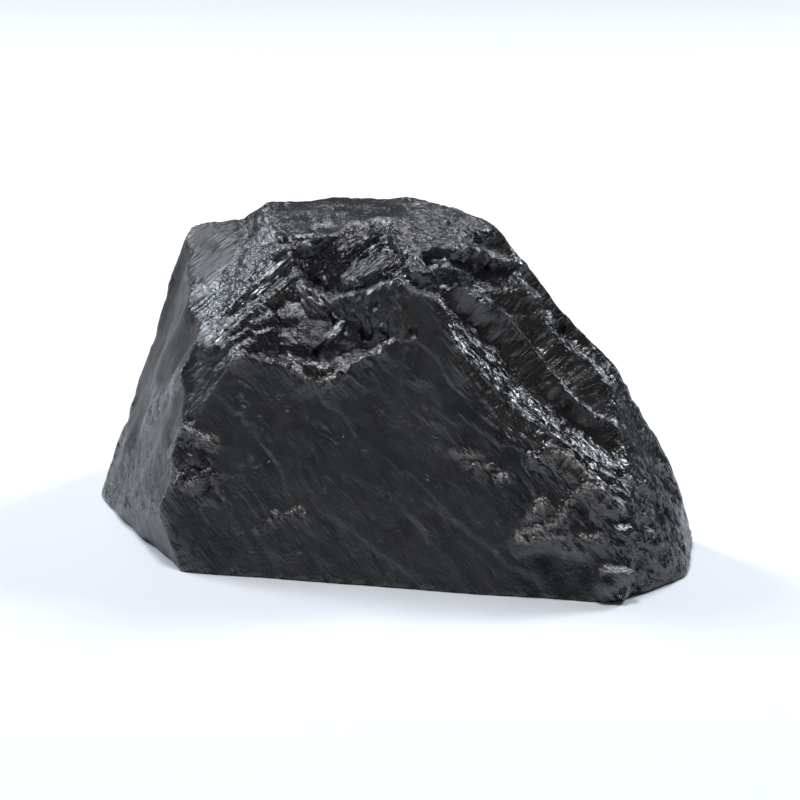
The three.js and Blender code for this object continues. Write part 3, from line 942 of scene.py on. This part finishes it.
def broken_coal():
    """Bituminous coal, freshly broken. It is black all through, so what the eye sees is gloss: dull
    even faces, bright glassy flakes where it tore, a little brown dust, and pale powdered coal where
    an edge broke up, a pale colour that is partly a painted highlight on edges and crests."""
    material = bpy.data.materials.new("broken_coal")
    material.use_nodes = True
    tree = material.node_tree
    tree.nodes.clear()
    place = add(tree, "TexCoord").outputs["Object"]
    gloss, flaky, warmth, rising, pale_powder_and_highlight = (
        add(tree, "Attribute", attribute_name=name).outputs["Fac"] for name in FINISHES)

    def flakes(way, length):
        """Flakes drawn out along a way, each a plane that leans by its own random amount, and fibres
        of the same grain."""
        turn = Vector(way).to_track_quat("X", "Z").to_euler()
        size = (length * MM, FLAKE_WIDTH * MM, FLAKE_WIDTH * MM)
        combed_place = add(tree, "Mapping", {"Vector": place}, vector_type="TEXTURE", Rotation=turn,
                           Scale=size).outputs[0]
        cells = add(tree, "TexVoronoi", {"Vector": combed_place}, Scale=1.0)
        away = add(tree, "VectorMath", {0: combed_place, 1: cells.outputs["Position"]},
                   operation="SUBTRACT")
        lean = add(tree, "VectorMath", {0: cells.outputs["Color"]}, operation="SUBTRACT")
        lean.inputs[1].default_value = (0.5, 0.5, 0.5)  # so that leans go every way alike
        plane = add(tree, "VectorMath", {0: away.outputs[0], 1: lean.outputs[0]},
                    operation="DOT_PRODUCT")
        fibre = add(tree, "TexNoise", {"Vector": combed_place}, Scale=1.6, Detail=2.0, Roughness=0.5)
        height = add(tree, "Math", {0: fibre.outputs["Fac"], 2: plane.outputs["Value"]},
                     operation="MULTIPLY_ADD")
        height.inputs[1].default_value = FIBRE_SHARE
        return height.outputs[0]

    falling = flakes(lying("front", -50), FALLING_LENGTH)
    climbing = flakes(lying("shoulder", 40), CLIMBING_LENGTH)
    torn = add(tree, "Mix", {"Factor": rising, 2: falling, 3: climbing})
    flake_height = add(tree, "Math", {0: torn.outputs[0], 1: flaky}, operation="MULTIPLY")
    dull_grain = add(tree, "TexNoise", {"Vector": place}, Scale=1 / (GRAIN * MM), Detail=4.0,
                     Roughness=0.65)
    dullness = add(tree, "MapRange", {"Value": flaky}, From_Min=0.15, From_Max=0.5, To_Min=0.17,
                   To_Max=0.06)
    heights = add(tree, "Math", {
        0: dull_grain.outputs["Fac"],
        1: dullness.outputs[0],
        2: flake_height.outputs[0],
    }, operation="MULTIPLY_ADD")
    bump = add(tree, "Bump", {"Height": heights.outputs[0]}, Strength=1.0, Distance=BUMP_HEIGHT * MM)
    cloud = add(tree, "TexNoise", {"Vector": place}, Scale=1 / (CLOUD * MM), Detail=5.0,
                Roughness=0.65)
    uneven = add(tree, "MapRange", {"Value": cloud.outputs["Fac"]}, From_Min=0.3, From_Max=0.7,
                 To_Min=-0.2, To_Max=0.2)
    shine = add(tree, "Math", {0: gloss, 1: uneven.outputs[0]}, operation="ADD")
    rough = add(tree, "MapRange", {"Value": shine.outputs[0]}, To_Min=0.6, To_Max=0.12)
    colour = add(tree, "Mix", {"Factor": warmth}, data_type="RGBA", A=linear("#131519"),
                 B=linear("#221e1b"))
    # Pale colour on the raised parts of the flakes: partly powdered coal, partly a painted highlight.
    raised_powder_and_highlight = add(tree, "MapRange", {"Value": torn.outputs[0]}, From_Min=0.05, From_Max=0.45)
    powder_and_highlight_share = add(tree, "Math", {0: raised_powder_and_highlight.outputs[0], 1: pale_powder_and_highlight}, operation="MULTIPLY")
    dusted_and_highlighted = add(tree, "Mix", {"Factor": powder_and_highlight_share.outputs[0], "A": colour.outputs["Result"]},
                 data_type="RGBA", B=linear("#a39e97"))
    shader = add(tree, "BsdfPrincipled", {
        "Base Color": dusted_and_highlighted.outputs["Result"],
        "Roughness": rough.outputs["Result"],
        "Normal": bump.outputs["Normal"],
    }, IOR=1.8)  # coal's own
    add(tree, "OutputMaterial", {"Surface": shader.outputs[0]})
    return material


# --- Stage ---

FLOOR_HALF = 3.0  # metres
SKY_WAY = unit(120, 65)  # where the sky is brightest: high up behind the lump, to its left
SKY_BRIGHT = 0.27
SKY_DIM = 0.045
SKY_EDGE = 0.2  # the cosine to that way at which the sky is at its dimmest
LIGHT_AIM = (0, 0, 0.02)
# Each soft light: where it hangs and how wide it is, in metres, its power in watts, its colour.
LIGHTS = {
    "overhead": ((-0.05, 0.05, 0.6), 0.14, 2.0, "#f4f7ff"),
    "back_left": ((-0.38, 0.28, 0.42), 0.13, 2.1, "#e8f1fb"),
    "back_right": ((0.40, 0.26, 0.40), 0.13, 2.2, "#e8f1fb"),
}
CAMERA_DISTANCE = 400.0  # from the point it looks at, which is given in the drawing's frame
CAMERA_AIM = np.array([0.0, 10.0, 24.0])
LENS = 120.0
SENSOR_WIDTH = 36.0
CLIP_START = 0.01  # metres


def pale_floor():
    """A wide sheet of pale matt paper that the lump lies on."""
    material = bpy.data.materials.new("pale_paper")
    material.use_nodes = True
    shader = material.node_tree.nodes["Principled BSDF"]
    shader.inputs["Base Color"].default_value = linear("#f4f5f6")
    shader.inputs["Roughness"].default_value = 0.9
    corners = [(-1, -1, 0), (1, -1, 0), (1, 1, 0), (-1, 1, 0)]
    mesh = bpy.data.meshes.new("floor")
    mesh.from_pydata(np.array(corners) * FLOOR_HALF, [], [(0, 1, 2, 3)])
    mesh.materials.append(material)
    floor = in_scene("floor", mesh)


def soft_light(name, place, size, power, colour):
    """A square lamp at a place, turned to the lump."""
    data = bpy.data.lights.new(name, "AREA")
    data.shape = "SQUARE"
    data.size = size
    data.energy = power
    data.color = linear(colour)[:3]
    light = in_scene(name, data)
    light.location = place
    light.rotation_euler = (Vector(LIGHT_AIM) - Vector(place)).to_track_quat("-Z", "Y").to_euler()


def studio():
    """The sky, whose light grows with the cosine to its brightest point, and the lamps."""
    world = bpy.data.worlds.new("studio")
    world.use_nodes = True
    tree = world.node_tree
    sky = add(tree, "TexCoord").outputs["Generated"]
    towards = add(tree, "VectorMath", {0: sky}, operation="DOT_PRODUCT")
    towards.inputs[1].default_value = SKY_WAY
    share = add(tree, "MapRange", {"Value": towards.outputs["Value"]}, From_Min=SKY_EDGE, From_Max=1.0,
                To_Min=SKY_DIM, To_Max=SKY_BRIGHT)
    tree.links.new(share.outputs["Result"], tree.nodes["Background"].inputs["Strength"])
    tree.nodes["Background"].inputs["Color"].default_value = linear("#f0f4f8")
    bpy.context.scene.world = world
    for name, light in LIGHTS.items():
        soft_light(name, *light)
    bpy.context.scene.view_settings.view_transform = "Standard"


def camera(place):
    """The camera, looking down at the front from the elevation's angle."""
    data = bpy.data.cameras.new("camera")
    data.lens = LENS
    data.sensor_width = SENSOR_WIDTH
    data.clip_start = CLIP_START
    eye = in_scene("camera", data)
    up = np.radians(ELEVATION)
    aim = Vector((CAMERA_AIM + place) * MM)
    back = Vector((0, -np.cos(up), np.sin(up)))
    eye.location = aim + back * CAMERA_DISTANCE * MM
    eye.rotation_euler = back.to_track_quat("Z", "Y").to_euler()
    bpy.context.scene.camera = eye


place = to_frame()
camera(place)
studio()
pale_floor()
piece = lump(place, broken_coal())
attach(piece, "root")
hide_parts("coal_lump")
